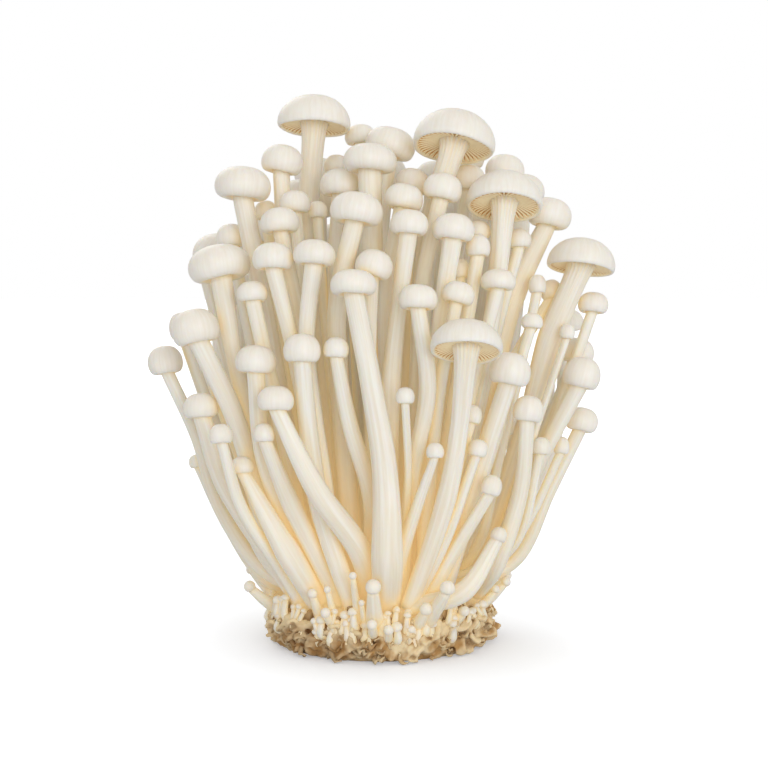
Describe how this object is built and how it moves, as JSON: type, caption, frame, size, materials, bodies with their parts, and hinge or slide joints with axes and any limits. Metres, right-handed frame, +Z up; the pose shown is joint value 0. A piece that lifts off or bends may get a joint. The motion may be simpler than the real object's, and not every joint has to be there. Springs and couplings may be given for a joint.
{
  "type": "enoki mushroom bunch",
  "caption": "Upright bunch of pale, long-stemmed cultivated mushrooms with small round and open gilled caps, fanned out from a ragged tan mycelium mat that it stands on.",
  "frame": {"origin": "middle of the ground that the bunch covers, at the height of the surface that it stands on", "axes": "+Z up, -Y towards the side that the picture shows, +X to the right in the picture"},
  "size_m": [0.1132, 0.1038, 0.1357],
  "materials": {
    "mushroom_flesh": "satin, slightly translucent cream-white mushroom flesh with fine lengthwise fibres on the stems and pale yellow gills",
    "mycelium": "matte, ragged tan and cream mycelium with brown hollows"
  },
  "bodies": {
    "root": {"mycelium_mat": "mycelium", "mushroom_crown_02": "mushroom_flesh", "mushroom_crown_01": "mushroom_flesh", "mushroom_upper_02": "mushroom_flesh", "mushroom_back_19": "mushroom_flesh", "mushroom_back_06": "mushroom_flesh", "mushroom_back_09": "mushroom_flesh", "mushroom_back_14": "mushroom_flesh", "mushroom_back_03": "mushroom_flesh", "mushroom_upper_14": "mushroom_flesh", "mushroom_back_20": "mushroom_flesh", "mushroom_back_15": "mushroom_flesh", "mushroom_lower_08": "mushroom_flesh", "mushroom_upper_08": "mushroom_flesh", "mushroom_upper_01": "mushroom_flesh", "mushroom_back_05": "mushroom_flesh", "mushroom_crown_05": "mushroom_flesh", "mushroom_back_13": "mushroom_flesh", "mushroom_back_02": "mushroom_flesh", "mushroom_crown_14": "mushroom_flesh", "mushroom_crown_04": "mushroom_flesh", "mushroom_back_18": "mushroom_flesh", "mushroom_upper_13": "mushroom_flesh", "mushroom_back_01": "mushroom_flesh", "mushroom_back_16": "mushroom_flesh", "mushroom_back_08": "mushroom_flesh", "mushroom_back_07": "mushroom_flesh", "mushroom_lower_02": "mushroom_flesh", "mushroom_upper_03": "mushroom_flesh", "mushroom_back_23": "mushroom_flesh", "mushroom_back_04": "mushroom_flesh", "mushroom_back_17": "mushroom_flesh", "mushroom_back_11": "mushroom_flesh", "mushroom_back_29": "mushroom_flesh", "mushroom_back_10": "mushroom_flesh", "mushroom_back_33": "mushroom_flesh", "mushroom_back_28": "mushroom_flesh", "mushroom_crown_06": "mushroom_flesh", "mushroom_back_12": "mushroom_flesh", "mushroom_back_31": "mushroom_flesh", "mushroom_lower_05": "mushroom_flesh", "mushroom_upper_05": "mushroom_flesh", "mushroom_back_24": "mushroom_flesh", "mushroom_back_25": "mushroom_flesh", "mushroom_crown_08": "mushroom_flesh", "mushroom_crown_07": "mushroom_flesh", "mushroom_back_35": "mushroom_flesh", "mushroom_lower_09": "mushroom_flesh", "mushroom_back_22": "mushroom_flesh", "mushroom_upper_11": "mushroom_flesh", "mushroom_crown_13": "mushroom_flesh", "mushroom_upper_04": "mushroom_flesh", "mushroom_upper_10": "mushroom_flesh", "mushroom_back_21": "mushroom_flesh", "mushroom_lower_06": "mushroom_flesh", "mushroom_upper_06": "mushroom_flesh", "mushroom_lower_13": "mushroom_flesh", "mushroom_crown_11": "mushroom_flesh", "mushroom_lower_11": "mushroom_flesh", "mushroom_upper_15": "mushroom_flesh"}
  },
  "joints": []
}
